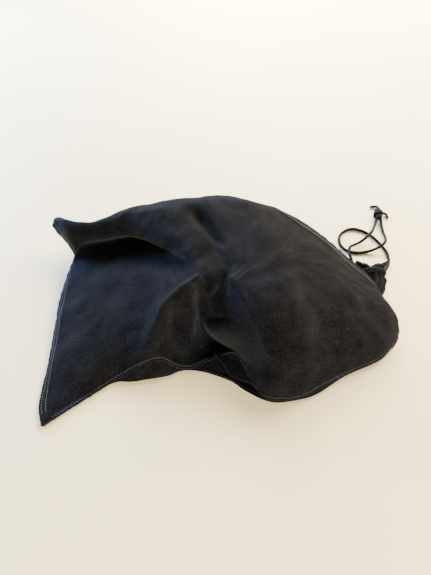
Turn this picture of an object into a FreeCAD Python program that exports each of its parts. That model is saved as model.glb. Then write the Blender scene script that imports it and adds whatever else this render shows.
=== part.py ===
"""Film changing bag: a black two-layer cloth bag with one drawstring mouth, lying on a table.

Millimetres. +Z up, +X towards the mouth end, +Y away from the user.
The origin is under the middle of the bag, on the table.
"""
import math
import os

import FreeCAD
import Part
from FreeCAD import Vector

os.makedirs("parts", exist_ok=True)

# Cloth layers. A trim or a place along a surface is counted in its knot spans.
DEGREE = 3
OUTER_CLOTH = 1.2
LINING_CLOTH = 0.8
LAYER_GAP = 0.9
LINING_END_TRIM = 0.4
LINING_SIDE_TRIM = 0.7
CORNER_CLEAR = 1.0
CORNER_LAYER_DROP = 3.4

# under panel, from the seams inwards
UNDER_EDGE_DROP = 2.9
UNDER_NEAR_STEP = 16.0
UNDER_FAR_STEP = 14.0
UNDER_FAR_SLOPE = 0.3
UNDER_WALL_STEP = 2.0
UNDER_WALL_SHARE = 0.3
TABLE_PRESS = 0.3

# seams and stitches
SEAM_WIDTH = 5.0
SEAM_THICK = 2.4
SEAM_CLEAR = 0.9
SEAM_LIFT = 0.72
SEAM_END_TRIM = 0.06
CORNER_SEAM_START = 0.12
MOUTH_SIDE_START = 0.25
MOUTH_SIDE_END = 1.7
FAR_SEAM_END = 9.2
NEAR_SAMPLES = 36
MOUTH_SIDE_SAMPLES = 5
FAR_SAMPLES = 32
BOTTOM_SAMPLES = 20
CORNER_SAMPLES = 8
STITCH_RADIUS = 0.35
STITCH_LENGTH = 3.4
STITCH_PITCH = 10.0
STITCH_LIFT = 0.45

# gathered mouth, a short tube along +Y; degrees go round it from +X over its top
MOUTH_X = 180.0
MOUTH_Z = 14.5
HOLE_RADIUS = 18.0
HOLE_START_Y = -14.0
HOLE_LENGTH = 70.0
NECK_START_Y = -4.0
NECK_END_Y = 27.4
NECK_ROOT_RADIUS = 13.0
NECK_END_RADIUS = 11.0
CHANNEL_RING_RADIUS = 13.0
CHANNEL_RADIUS = 3.2
CHANNEL_BORE = 2.3
CHANNEL_Y = 31.0
CHANNEL_START_DEG = 8.0
CHANNEL_SWEEP_DEG = 164.0
CORD_START_DEG = 0.0
CORD_SWEEP_DEG = 180.0
FRILL_START_Y = 34.6
FRILL_END_Y = 44.0
FRILL_START_RADIUS = 12.6
FRILL_END_RADIUS = 18.0
FRILL_SWEEP_DEG = 150.0
FRILL_STEPS = 8
EYELET_WIDTH = 1.4
EYELET_BORE = 1.9
EYELET_CLEAR = 0.1

# drawcord
CORD_RADIUS = 1.5
CORD_Z = 1.6
CROSSING_Z = 7.6
ARC_SHARE = 0.45
KNOT_CENTRE = Vector(219.0, 150.0, 4.4)
KNOT_HALF_LENGTH = 9.0
KNOT_RADIUS = 4.2
KNOT_LEAN_DEG = 72.0

# Control nets of the cloth, near edge to far edge, one row for each place along the bag.
# Each row: near seam, low, middle, high, crest, back, far seam.
TOP_NET = (
    ((-159, -139, 4), (-168, -90, 4), (-174, -30, 8), (-174, 25, 11),
     (-171, 61, 19), (-161, 80, 38), (-153, 110, 24)),
    ((-127, -117, 4), (-124, -85, 13), (-122, -40, 22), (-124, 15, 27),
     (-134, 62, 38), (-140, 86, 48), (-136, 124, 20)),
    ((-100, -98, 4), (-92, -70, 20), (-82, -30, 34), (-80, 25, 42),
     (-78, 68, 56), (-82, 100, 58), (-96, 133, 18)),
    ((-76, -86, 5), (-62, -62, 31), (-52, -25, 48), (-30, 15, 58),
     (-40, 60, 66), (-50, 108, 62), (-62, 138, 18)),
    ((-30, -86, 5), (-24, -66, 14), (-10, -30, 28), (0, 12, 54),
     (-8, 55, 64), (-14, 110, 64), (-22, 141, 20)),
    ((36, -107, 4), (32, -82, 20), (12, -45, 36), (12, 5, 58),
     (12, 55, 67), (10, 108, 66), (5, 141, 22)),
    ((56, -115, 4), (52, -98, 32), (40, -48, 52), (22, 0, 64),
     (24, 55, 69), (20, 106, 66), (22, 138, 28)),
    ((80, -115, 4), (78, -98, 40), (72, -45, 62), (63, 0, 67),
     (60, 45, 67), (50, 92, 65), (44, 130, 36)),
    ((101, -106, 5), (102, -90, 34), (98, -42, 56), (90, 8, 60),
     (87, 45, 60), (85, 84, 58), (82, 106, 42)),
    ((128, -93, 5), (134, -76, 28), (131, -34, 46), (125, 7, 51),
     (123, 38, 50), (121, 62, 48), (117, 80, 38)),
    ((163, -77, 6), (168, -60, 26), (166, -32, 38), (160, -5, 40),
     (156, 12, 39), (152, 28, 38), (147, 40, 35)),
    ((181, -66, 7), (188, -46, 22), (187, -28, 30), (182, -12, 34),
     (175, 0, 34), (170, 10, 34), (165, 20, 33)),
    ((188, -58, 8), (194, -44, 10), (194, -30, 15), (190, -16, 18),
     (184, -4, 20), (177, 8, 24), (171, 17, 29)),
)

# Raised far corner beyond its fold line, towards the tip, left edge to far edge.
CORNER_NET = (
    ((-182, 69, 25), (-175, 83, 43), (-170, 97, 46), (-166, 112, 31)),
    ((-190, 79, 31), (-186, 89, 43), (-182, 99, 44), (-179, 108, 36)),
    ((-197, 90, 35), (-196, 94, 39), (-194, 98, 39), (-192, 102, 37)),
)

# Cord routes from the two ends of the channel to the knot.
LEFT_ROUTE = (
    (167, 31, 14.1), (166.9, 31.8, 8.9), (166.3, 36.5, 5), (166.5, 45, 3), (166.5, 54, 3), (165, 64, 5),
    (163.5, 74, CROSSING_Z),
    (166, 84, CROSSING_Z), (174, 91, 4), (184, 97, 3.4), (193, 103, CROSSING_Z), (201, 112, CROSSING_Z),
    (206, 122, 4), (211, 132, 3), (215, 142, 4),
)
RIGHT_ROUTE = (
    (193, 31, 14.1), (193.1, 31.8, 8.9), (194.6, 36.5, 5), (198.5, 42.5, 3.4), (204, 49.5, 2.4),
    (210, 58, 1.8), (213.5, 70, CORD_Z),
    (213.5, 82, CORD_Z), (209, 94, CORD_Z), (204, 105, CORD_Z), (197, 115, CORD_Z), (188, 122, CORD_Z),
    (178, 124, CORD_Z), (168, 120, CORD_Z), (160.5, 112, CORD_Z), (157, 102, CORD_Z), (157.5, 91, CORD_Z),
    (164, 82, CORD_Z), (174, 79, CORD_Z), (186, 80, CORD_Z), (197, 82, 4), (207, 86, CROSSING_Z),
    (214.5, 94, CROSSING_Z), (217.5, 106, 4), (218, 118, CORD_Z), (219, 130, 2.4), (220, 141, 4),
)
LEFT_TAIL = ((222.5, 160, 4.4), (223, 166, 3), (219, 170, 2), (213, 168, CORD_Z))
RIGHT_TAIL = ((224.2, 152.6, 4.2), (228, 154, 3), (232, 151, 2), (231, 145, CORD_Z))


def save(name, shape):
    shape.exportStep("parts/" + name + ".step")
    facts = f"{len(shape.Solids)} solids, {shape.Volume:.0f} mm3, valid {shape.isValid()}"
    print(f"{name}: {shape.ShapeType}, {facts}")


def vectors(net):
    return [[Vector(*point) for point in row] for row in net]


def net_surface(net):
    """Smooth surface that a control net of vectors pulls into shape."""
    counts = (len(net), len(net[0]))
    degrees = [min(DEGREE, count - 1) for count in counts]
    knots = []
    mults = []
    for count, degree in zip(counts, degrees):
        spans = count - degree
        knots.append([float(i) for i in range(spans + 1)])
        mults.append([degree + 1] + [1] * (spans - 1) + [degree + 1])
    surface = Part.BSplineSurface()
    surface.buildFromPolesMultsKnots(net, mults[0], mults[1], knots[0], knots[1], False, False, *degrees)
    return surface


def shifted(net, distance):
    """The net moved by a distance along its own normals, downwards where that is positive."""
    last_row = len(net) - 1
    last = len(net[0]) - 1
    moved = []
    for i, row in enumerate(net):
        new_row = []
        for j, point in enumerate(row):
            along = net[min(i + 1, last_row)][j] - net[max(i - 1, 0)][j]
            across = row[min(j + 1, last)] - row[max(j - 1, 0)]
            normal = along.cross(across).normalize()
            new_row.append(point - normal * distance)
        moved.append(new_row)
    return moved


def layer(net, depth, thickness, trim=None):
    """Closed solid of one cloth layer, at a depth under the net's surface."""
    faces = []
    outer = net_surface(shifted(net, depth))
    inner = net_surface(shifted(net, depth + thickness))
    if trim:
        outer.segment(*trim)
        inner.segment(*trim)
    u_start, u_end, v_start, v_end = outer.bounds()
    faces.extend([outer.toShape(), inner.toShape()])
    for u in (u_start, u_end):
        faces.append(Part.makeRuledSurface(outer.uIso(u).toShape(), inner.uIso(u).toShape()))
    for v in (v_start, v_end):
        faces.append(Part.makeRuledSurface(outer.vIso(v).toShape(), inner.vIso(v).toShape()))
    shell = Part.makeShell(faces)
    shell.sewShape()
    solid = Part.makeSolid(shell)
    if solid.Volume < 0:
        solid.reverse()
    return solid


def under_net(top):
    """Net of the under panel: the same outline, flat on the table inside it."""
    drop = Vector(0, 0, UNDER_EDGE_DROP)
    rows = [[point - drop for point in top[0]]]
    for row in top[1:-1]:
        near = row[0] - drop
        far = row[-1] - drop
        inward = far - near
        inward.z = 0
        inward.normalize()
        near_floor = near + inward * UNDER_NEAR_STEP
        far_floor = far - inward * (UNDER_FAR_STEP + UNDER_FAR_SLOPE * far.z)
        far_wall = far - inward * UNDER_WALL_STEP
        near_floor.z = -TABLE_PRESS
        far_floor.z = -TABLE_PRESS
        far_wall.z = UNDER_WALL_SHARE * far.z
        third = (far_floor - near_floor) * (1 / 3)
        rows.append([near, near_floor, near_floor + third, far_floor - third, far_floor, far_wall, far])
    rows.append([point - drop for point in top[-1]])
    return rows


def seam_line(line, side):
    """Net of a flat band that follows a seam line, on the given side of it."""
    rows = []
    last = len(line) - 1
    for i, point in enumerate(line):
        along = line[min(i + 1, last)] - line[max(i - 1, 0)]
        out = Vector(along.y, -along.x, 0).normalize() * side
        lift = Vector(0, 0, SEAM_LIFT)
        steps = (SEAM_CLEAR, SEAM_CLEAR + 0.5 * SEAM_WIDTH, SEAM_CLEAR + SEAM_WIDTH)
        rows.append([point + out * step + lift for step in steps])
    return rows


def band(line, side):
    """Seam allowance beside a line: its solid and its upper surface."""
    net = seam_line(line, side)
    if side > 0:
        net = [list(reversed(row)) for row in net]
    return layer(net, 0.0, SEAM_THICK), net_surface(net)


def save_seam(name, line, side):
    solid, surface = band(line, side)
    save(name, solid)
    save(name.replace("seam", "stitches"), stitches(surface))


def curve_points(curve, start, end, count):
    return [curve.value(start + (end - start) * k / (count - 1)) for k in range(count)]


def stitches(surface):
    """Row of short threads along the middle of a band."""
    middle = surface.vIso(0.5)
    count = int(middle.length() / STITCH_PITCH)
    threads = []
    for k in range(1, count):
        u = middle.parameterAtDistance(k * STITCH_PITCH, 0.0)
        along = middle.tangent(u)[0]
        start = middle.value(u) + Vector(0, 0, STITCH_LIFT) - along * (0.5 * STITCH_LENGTH)
        threads.append(Part.makeCylinder(STITCH_RADIUS, STITCH_LENGTH, start, along))
    return Part.makeCompound(threads)


def rounded_path(points):
    """Straight runs joined by tangent arcs as large as the runs allow."""
    edges = []
    radii = []
    start = points[0]
    for before, corner, after in zip(points, points[1:], points[2:]):
        inward = before - corner
        outward = after - corner
        cut = ARC_SHARE * min(inward.Length, outward.Length)
        turn = math.pi - inward.getAngle(outward)
        radii.append(cut / math.tan(0.5 * turn))
        inward.normalize()
        outward.normalize()
        first = corner + inward * cut
        last = corner + outward * cut
        bisector = (inward + outward).normalize()
        centre_distance = cut / math.sin(0.5 * turn)
        middle = corner + bisector * (centre_distance - radii[-1])
        edges.append(Part.LineSegment(start, first).toShape())
        edges.append(Part.Arc(first, middle, last).toShape())
        start = last
    edges.append(Part.LineSegment(start, points[-1]).toShape())
    return Part.Wire(edges), radii


def tube(name, route):
    points = [Vector(*point) for point in route]
    path, radii = rounded_path(points)
    ring = Part.Wire([Part.makeCircle(CORD_RADIUS, points[0], points[1] - points[0])])
    solid = path.makePipeShell([ring], True, True)
    expected = math.pi * CORD_RADIUS ** 2 * path.Length
    print(f"{name}: length {path.Length:.1f}, smallest radius {min(radii):.1f}, "
          f"radii {[round(radius, 1) for radius in radii]}, volume ratio {solid.Volume / expected:.4f}")
    return solid


def mouth_point(radius, degrees, y):
    angle = math.radians(degrees)
    return Vector(MOUTH_X + radius * math.cos(angle), y, MOUTH_Z + radius * math.sin(angle))


def cone_wall(start_y, end_y, start_radius, end_radius, wall):
    """Thin conical tube along +Y, centred on the mouth."""
    base = Vector(MOUTH_X, start_y, MOUTH_Z)
    length = end_y - start_y
    along = Vector(0, 1, 0)
    outside = Part.makeCone(start_radius, end_radius, length, base, along)
    inside = Part.makeCone(start_radius - wall, end_radius - wall, length, base, along)
    return outside.cut(inside)


def ring_arc(radius, start_deg, sweep_deg):
    """Round bar bent along the mouth's ring, over its top."""
    start = mouth_point(CHANNEL_RING_RADIUS, start_deg, CHANNEL_Y)
    middle = mouth_point(CHANNEL_RING_RADIUS, start_deg + 0.5 * sweep_deg, CHANNEL_Y)
    end = mouth_point(CHANNEL_RING_RADIUS, start_deg + sweep_deg, CHANNEL_Y)
    path = Part.Wire([Part.Arc(start, middle, end).toShape()])
    angle = math.radians(start_deg)
    along = Vector(-math.sin(angle), 0, math.cos(angle))
    ring = Part.Wire([Part.makeCircle(radius, start, along)])
    return path.makePipeShell([ring], True, True)


def sector(sweep_deg, radius, start_y, end_y):
    """Wedge over the top of the mouth, used to open a ring at its underside."""
    half = 0.5 * sweep_deg
    corners = [Vector(MOUTH_X, start_y, MOUTH_Z)]
    for k in range(FRILL_STEPS + 1):
        corners.append(mouth_point(radius, 90.0 - half + k * sweep_deg / FRILL_STEPS, start_y))
    corners.append(corners[0])
    face = Part.Face(Part.makePolygon(corners))
    return face.extrude(Vector(0, end_y - start_y, 0))


def below_table(solid):
    """Block that takes away what the table presses flat, to leave a plane face to rest on."""
    box = solid.BoundBox
    corner = Vector(box.XMin - 1.0, box.YMin - 1.0, -TABLE_PRESS - 1.0)
    return Part.makeBox(box.XLength + 2.0, box.YLength + 2.0, TABLE_PRESS + 1.0, corner)


def build_bag():
    top = vectors(TOP_NET)
    under = [list(reversed(row)) for row in under_net(top)]
    lining_depth = OUTER_CLOTH + LAYER_GAP
    start = Vector(MOUTH_X, HOLE_START_Y, MOUTH_Z)
    hole = Part.makeCylinder(HOLE_RADIUS, HOLE_LENGTH, start, Vector(0, 1, 0))
    for name, net in (("top", top), ("under", under)):
        u_end = len(net) - DEGREE
        v_end = len(net[0]) - DEGREE
        trim = (LINING_END_TRIM, u_end - LINING_END_TRIM, LINING_SIDE_TRIM, v_end - LINING_SIDE_TRIM)
        outer = layer(net, 0.0, OUTER_CLOTH).cut(hole)
        save(f"outer_{name}_panel", outer.cut(below_table(outer)))
        save(f"lining_{name}_panel", layer(net, lining_depth, LINING_CLOTH, trim).cut(hole))
    surface = net_surface(top)
    u_start, u_end, v_start, v_end = surface.bounds()
    near = curve_points(surface.vIso(v_start), u_start, u_end, NEAR_SAMPLES)
    mouth_side = curve_points(surface.uIso(u_end), MOUTH_SIDE_START, MOUTH_SIDE_END, MOUTH_SIDE_SAMPLES)
    far = curve_points(surface.vIso(v_end), u_start + SEAM_END_TRIM, FAR_SEAM_END, FAR_SAMPLES)
    bottom = curve_points(surface.uIso(u_start), v_start, v_end - 1.0 - SEAM_END_TRIM, BOTTOM_SAMPLES)
    save_seam("near_side_seam", near + mouth_side, 1)
    save_seam("far_side_seam", far, -1)
    save_seam("bottom_seam", bottom, -1)


def corner_net():
    """Net of the raised corner; its first row is the last span of the bag's left edge."""
    surface = net_surface(vectors(TOP_NET))
    edge = surface.uIso(0.0)
    v_end = surface.bounds()[3]
    edge.segment(v_end - 1.0, v_end)
    base = [pole - Vector(CORNER_CLEAR, 0, 0) for pole in edge.getPoles()]
    return [base] + vectors(CORNER_NET)


def build_corner():
    upper = corner_net()
    save("far_corner_top_cloth", layer(upper, 0.0, OUTER_CLOTH))
    lower = [[point - Vector(0, 0, CORNER_LAYER_DROP) for point in row] for row in upper]
    save("far_corner_under_cloth", layer(lower, 0.0, OUTER_CLOTH))
    surface = net_surface(upper)
    u_start, u_end, v_start, v_end = surface.bounds()
    side = curve_points(surface.vIso(v_end), u_start + CORNER_SEAM_START, u_end, CORNER_SAMPLES)
    end = curve_points(surface.vIso(v_start), u_start + CORNER_SEAM_START, u_end, CORNER_SAMPLES)
    save("far_corner_side_seam", band(side, 1)[0])
    save("far_corner_bottom_seam", band(end, -1)[0])


def build_mouth():
    save("neck_gather", cone_wall(NECK_START_Y, NECK_END_Y, NECK_ROOT_RADIUS, NECK_END_RADIUS, OUTER_CLOTH))
    inset = OUTER_CLOTH + 0.5 * LAYER_GAP
    radii = (NECK_ROOT_RADIUS - inset, NECK_END_RADIUS - inset)
    lining = cone_wall(NECK_START_Y, NECK_END_Y, *radii, LINING_CLOTH)
    save("neck_lining", lining)
    channel = ring_arc(CHANNEL_RADIUS, CHANNEL_START_DEG, CHANNEL_SWEEP_DEG)
    bore = ring_arc(CHANNEL_BORE, CHANNEL_START_DEG, CHANNEL_SWEEP_DEG)
    save("drawcord_channel", channel.cut(bore))
    save("drawcord_in_channel", ring_arc(CORD_RADIUS, CORD_START_DEG, CORD_SWEEP_DEG))
    frill = cone_wall(FRILL_START_Y, FRILL_END_Y, FRILL_START_RADIUS, FRILL_END_RADIUS, OUTER_CLOTH)
    spread = sector(FRILL_SWEEP_DEG, 3 * FRILL_END_RADIUS, FRILL_START_Y, FRILL_END_Y)
    save("mouth_frill", frill.common(spread))
    save("right_exit_eyelet", eyelet(CHANNEL_START_DEG, -1))
    save("left_exit_eyelet", eyelet(CHANNEL_START_DEG + CHANNEL_SWEEP_DEG, 1))


def eyelet(degrees, side):
    """Stitched ring on one open end of the channel."""
    angle = math.radians(degrees)
    along = Vector(-math.sin(angle), 0, math.cos(angle)) * side
    start = mouth_point(CHANNEL_RING_RADIUS, degrees, CHANNEL_Y) + along * EYELET_CLEAR
    outside = Part.makeCylinder(CHANNEL_RADIUS, EYELET_WIDTH, start, along)
    return outside.cut(Part.makeCylinder(EYELET_BORE, EYELET_WIDTH, start, along))


def knot():
    """Body of the overhand knot, a rounded barrel that leans along the cord."""
    barrel = Part.Ellipse(Vector(0, 0, 0), KNOT_HALF_LENGTH, KNOT_RADIUS)
    half = Part.Edge(barrel, 0.0, math.pi)
    closing = Part.makeLine(Vector(-KNOT_HALF_LENGTH, 0, 0), Vector(KNOT_HALF_LENGTH, 0, 0))
    body = Part.Face(Part.Wire([half, closing])).revolve(Vector(0, 0, 0), Vector(1, 0, 0), 360.0)
    body.rotate(Vector(0, 0, 0), Vector(0, 0, 1), KNOT_LEAN_DEG)
    body.translate(KNOT_CENTRE)
    return body


def build_cord():
    save("end_knot", knot())
    save("drawcord_left_end", tube("left end", LEFT_ROUTE))
    save("drawcord_right_end", tube("right end", RIGHT_ROUTE))
    save("knot_tail_left", tube("left tail", LEFT_TAIL))
    save("knot_tail_right", tube("right tail", RIGHT_TAIL))


build_bag()
build_corner()
build_mouth()
build_cord()
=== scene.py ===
"""Film changing bag: cloth, seams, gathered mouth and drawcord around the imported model."""
import math

import bpy
import numpy as np
from mathutils import Matrix, Vector


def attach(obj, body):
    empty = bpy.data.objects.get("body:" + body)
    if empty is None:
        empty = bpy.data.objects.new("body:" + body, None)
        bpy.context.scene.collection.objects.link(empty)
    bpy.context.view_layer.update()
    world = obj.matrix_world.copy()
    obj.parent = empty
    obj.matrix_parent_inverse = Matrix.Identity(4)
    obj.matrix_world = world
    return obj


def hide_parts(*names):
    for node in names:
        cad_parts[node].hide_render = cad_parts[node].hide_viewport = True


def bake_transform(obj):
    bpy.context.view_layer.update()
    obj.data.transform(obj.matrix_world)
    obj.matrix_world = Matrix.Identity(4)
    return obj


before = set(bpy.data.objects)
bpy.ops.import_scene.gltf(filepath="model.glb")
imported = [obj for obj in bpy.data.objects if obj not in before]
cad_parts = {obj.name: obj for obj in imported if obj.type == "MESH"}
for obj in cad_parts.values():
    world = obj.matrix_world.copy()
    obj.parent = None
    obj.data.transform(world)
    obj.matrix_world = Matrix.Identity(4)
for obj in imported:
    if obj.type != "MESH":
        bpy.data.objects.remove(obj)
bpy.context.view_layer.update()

MM = 0.001

# ---------------------------------------------------------------- camera, floor, light

CAMERA_PLACE = (-0.002, -0.3035, 0.390)
CAMERA_TILT_DEG = 40.0
LENS_MM = 27.05
SENSOR_MM = 36.0

# Name, place, what it points at, width, power and colour of each light.
LIGHTS = (
    ("key", (1.00, 1.00, 0.75), (0.0, 0.0, 0.0), 0.80, 95.0, (1.0, 0.88, 0.72)),
    ("back", (0.10, 1.40, 0.58), (-0.05, 0.05, 0.03), 0.90, 120.0, (1.0, 0.92, 0.82)),
    ("window", (-1.00, 0.85, 0.28), (-0.05, 0.0, 0.02), 0.40, 125.0, (0.22, 0.44, 1.0)),
    ("front", (0.35, -1.35, 0.16), (0.05, 0.0, 0.02), 0.90, 120.0, (1.0, 0.94, 0.86)),
)
ROOM_COLOUR = (1.0, 0.96, 0.92, 1.0)
ROOM_STRENGTH = 0.38


def camera():
    data = bpy.data.cameras.new("camera")
    data.lens = LENS_MM
    data.sensor_width = SENSOR_MM
    data.clip_start = 0.01
    cam = bpy.data.objects.new("camera", data)
    cam.location = CAMERA_PLACE
    cam.rotation_euler = (math.radians(CAMERA_TILT_DEG), 0.0, 0.0)
    bpy.context.scene.collection.objects.link(cam)
    bpy.context.scene.camera = cam


def area_light(name, place, target, size, power, colour):
    data = bpy.data.lights.new(name, "AREA")
    data.shape = "DISK"
    data.size = size
    data.energy = power
    data.color = colour
    lamp = bpy.data.objects.new(name, data)
    lamp.location = place
    lamp.rotation_euler = (Vector(target) - Vector(place)).to_track_quat("-Z", "Y").to_euler()
    bpy.context.scene.collection.objects.link(lamp)


def lights():
    for light in LIGHTS:
        area_light(*light)
    world = bpy.data.worlds.new("room")
    world.use_nodes = True
    background = world.node_tree.nodes["Background"]
    background.inputs["Color"].default_value = ROOM_COLOUR
    background.inputs["Strength"].default_value = ROOM_STRENGTH
    bpy.context.scene.world = world


# ---------------------------------------------------------------- materials


class Nodes:
    """Short calls for building one material's node tree."""

    def __init__(self, name):
        self.material = bpy.data.materials.new(name)
        self.material.use_nodes = True
        self.tree = self.material.node_tree
        self.shader = self.tree.nodes["Principled BSDF"]

    def add(self, kind, **settings):
        node = self.tree.nodes.new(kind)
        for key, value in settings.items():
            if hasattr(node, key):
                setattr(node, key, value)
            else:
                node.inputs[key.replace("_", " ")].default_value = value
        return node

    def link(self, source, target):
        self.tree.links.new(source, target)

    def math(self, operation, a, b=None):
        node = self.add("ShaderNodeMath", operation=operation)
        for slot, value in enumerate((a, b)):
            if value is None:
                continue
            if isinstance(value, (int, float)):
                node.inputs[slot].default_value = value
            else:
                self.link(value, node.inputs[slot])
        return node.outputs[0]

    def noise(self, coordinates, scale, detail=3.0, roughness=0.5):
        node = self.add("ShaderNodeTexNoise", Scale=scale, Detail=detail, Roughness=roughness)
        self.link(coordinates, node.inputs["Vector"])
        return node.outputs["Fac"]

    def total(self, *parts):
        """Sum of (value, share) parts."""
        sums = [self.math("MULTIPLY", value, share) for value, share in parts]
        result = sums[0]
        for part in sums[1:]:
            result = self.math("ADD", result, part)
        return result

    def relief(self, height, strength, distance):
        bump = self.add("ShaderNodeBump", Strength=strength, Distance=distance)
        self.link(height, bump.inputs["Height"])
        self.link(bump.outputs["Normal"], self.shader.inputs["Normal"])

    def ramp(self, value, stops):
        stops = list(stops)
        node = self.add("ShaderNodeValToRGB")
        elements = node.color_ramp.elements
        while len(elements) < len(stops):
            elements.new(0.5)
        for element, (place, colour) in zip(elements, stops):
            element.position = place
            element.color = (*colour, 1.0)
        self.link(value, node.inputs["Fac"])
        return node.outputs["Color"]


def shade(value, warmth=1.0):
    return (value * warmth, value, value / warmth)


# Noise scales of the cloth, per mm, from its single fibres up to its unevenly taken dye.
FIBRE_SCALE = 4.0
SLUB_SCALE = 0.60
MOTTLE_SCALE = 0.42
DYE_SCALE = 0.045
# How much each of them counts in the cloth's tone, and the tones that are its darkest and lightest.
SLUB_TONE = 0.40
MOTTLE_TONE = 0.35
DYE_TONE = 0.25
WEAVE_TONE = 0.05
TONE_RANGE = (0.40, 0.60)
# How much each of them counts in its relief, in metres where all of them are high.
WEAVE_RELIEF = 0.30
FIBRE_RELIEF = 0.9
SLUB_RELIEF = 0.9
RELIEF_HEIGHT = 0.0004
CLOTH_ROUGHNESS = 0.76
SLUB_ROUGHNESS = 0.16
# Lint lies in patches; its specks are a share of the space between them across.
LINT_SCALE = 0.22
LINT_SIZE = 0.085
LINT_PATCH_SCALE = 0.04
LINT_PATCH_LEVEL = 0.54
LINT_COVER = 0.75
LINT_COLOUR = (0.055, 0.055, 0.06, 1.0)
SHEEN_COLOUR = (0.85, 0.86, 0.90, 1.0)


def cloth_material(name, dark, light, thread_mm, bump, sheen, lint=False):
    """Plain-woven cotton: threads both ways, slubs, uneven dye, sheen and a little lint.

    UV coordinates are millimetres measured along the cloth.
    """
    n = Nodes(name)
    uv = n.add("ShaderNodeUVMap").outputs["UV"]
    split = n.add("ShaderNodeSeparateXYZ")
    n.link(uv, split.inputs[0])
    pitch = 2.0 * math.pi / thread_mm
    warp = n.math("SINE", n.math("MULTIPLY", split.outputs["X"], pitch))
    weft = n.math("SINE", n.math("MULTIPLY", split.outputs["Y"], pitch))
    weave = n.math("MULTIPLY", warp, weft)
    slub = n.noise(uv, SLUB_SCALE, 4.0, 0.65)
    dye = n.noise(uv, DYE_SCALE, 3.0, 0.6)
    fibre = n.noise(uv, FIBRE_SCALE, 2.0, 0.7)
    mottle = n.noise(uv, MOTTLE_SCALE, 2.0, 0.6)
    tone = n.total((slub, SLUB_TONE), (dye, DYE_TONE), (mottle, MOTTLE_TONE), (weave, WEAVE_TONE))
    colour = n.ramp(tone, zip(TONE_RANGE, (dark, light)))
    if lint:
        specks = n.add("ShaderNodeTexVoronoi", Scale=LINT_SCALE, Randomness=1.0)
        n.link(uv, specks.inputs["Vector"])
        near = n.math("LESS_THAN", specks.outputs["Distance"], LINT_SIZE)
        chosen = n.math("GREATER_THAN", n.noise(uv, LINT_PATCH_SCALE, 2.0, 0.5), LINT_PATCH_LEVEL)
        mix = n.add("ShaderNodeMix", data_type="RGBA")
        n.link(n.math("MULTIPLY", n.math("MULTIPLY", near, chosen), LINT_COVER), mix.inputs["Factor"])
        n.link(colour, mix.inputs["A"])
        mix.inputs["B"].default_value = LINT_COLOUR
        colour = mix.outputs["Result"]
    n.link(colour, n.shader.inputs["Base Color"])
    rough = n.math("ADD", n.math("MULTIPLY", slub, SLUB_ROUGHNESS), CLOTH_ROUGHNESS)
    n.link(rough, n.shader.inputs["Roughness"])
    n.shader.inputs["Specular IOR Level"].default_value = 0.02
    n.shader.inputs["Sheen Weight"].default_value = sheen
    n.shader.inputs["Sheen Roughness"].default_value = 0.25
    n.shader.inputs["Sheen Tint"].default_value = SHEEN_COLOUR
    height = n.total((weave, WEAVE_RELIEF), (fibre, FIBRE_RELIEF), (slub, SLUB_RELIEF))
    n.relief(height, bump, RELIEF_HEIGHT)
    return n.material


BRAID_STRANDS = 4.0
BRAID_PITCH_MM = 2.6


def braid_material():
    """Round braided cord: slanted strands both ways. UV: turns round the cord, mm along it."""
    n = Nodes("cord_braid")
    uv = n.add("ShaderNodeUVMap").outputs["UV"]
    split = n.add("ShaderNodeSeparateXYZ")
    n.link(uv, split.inputs[0])
    turn = n.math("MULTIPLY", split.outputs["X"], 2.0 * math.pi * BRAID_STRANDS)
    along = n.math("MULTIPLY", split.outputs["Y"], 2.0 * math.pi / BRAID_PITCH_MM)
    left = n.math("SINE", n.math("ADD", turn, along))
    right = n.math("SINE", n.math("SUBTRACT", turn, along))
    strands = n.math("MULTIPLY", n.math("MAXIMUM", left, right), 0.5)
    tone = n.math("ADD", strands, n.math("MULTIPLY", n.noise(uv, 1.2), 0.5))
    colour = n.ramp(tone, ((0.05, shade(0.0005, 1.05)), (0.95, shade(0.0036, 1.06))))
    n.link(colour, n.shader.inputs["Base Color"])
    n.shader.inputs["Roughness"].default_value = 0.62
    n.shader.inputs["Specular IOR Level"].default_value = 0.06
    n.shader.inputs["Sheen Weight"].default_value = 0.02
    n.shader.inputs["Sheen Roughness"].default_value = 0.4
    n.relief(strands, 0.9, 0.0003)
    return n.material


def thread_material():
    n = Nodes("sewing_thread")
    coordinates = n.add("ShaderNodeTexCoord").outputs["Object"]
    tone = n.noise(coordinates, 900.0)
    colour = n.ramp(tone, ((0.3, shade(0.014)), (0.7, shade(0.040))))
    n.link(colour, n.shader.inputs["Base Color"])
    n.shader.inputs["Roughness"].default_value = 0.5
    n.relief(tone, 0.5, 0.0002)
    return n.material


def floor_material():
    n = Nodes("pale_table")
    coordinates = n.add("ShaderNodeTexCoord").outputs["Object"]
    tone = n.noise(coordinates, 6.0, 4.0, 0.55)
    colour = n.ramp(tone, ((0.3, (0.91, 0.755, 0.395)), (0.7, (0.94, 0.785, 0.425))))
    n.link(colour, n.shader.inputs["Base Color"])
    n.shader.inputs["Roughness"].default_value = 0.6
    n.shader.inputs["Specular IOR Level"].default_value = 0.25
    return n.material


# ---------------------------------------------------------------- mesh helpers


def spline_matrix(count, steps):
    """Weights that carry `count` guide values to a smooth run through all of them."""
    rows = []
    for span in range(count - 1):
        for k in range(steps if span < count - 2 else steps + 1):
            t = k / steps
            weights = np.zeros(count)
            basis = (
                -0.5 * t + t * t - 0.5 * t ** 3,
                1.0 - 2.5 * t * t + 1.5 * t ** 3,
                0.5 * t + 2.0 * t * t - 1.5 * t ** 3,
                -0.5 * t * t + 0.5 * t ** 3,
            )
            for offset, weight in zip((-1, 0, 1, 2), basis):
                index = span + offset
                if index < 0:
                    weights[0] += 2.0 * weight
                    weights[1] -= weight
                elif index > count - 1:
                    weights[-1] += 2.0 * weight
                    weights[-2] -= weight
                else:
                    weights[index] += weight
            rows.append(weights)
    return np.array(rows)


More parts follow.
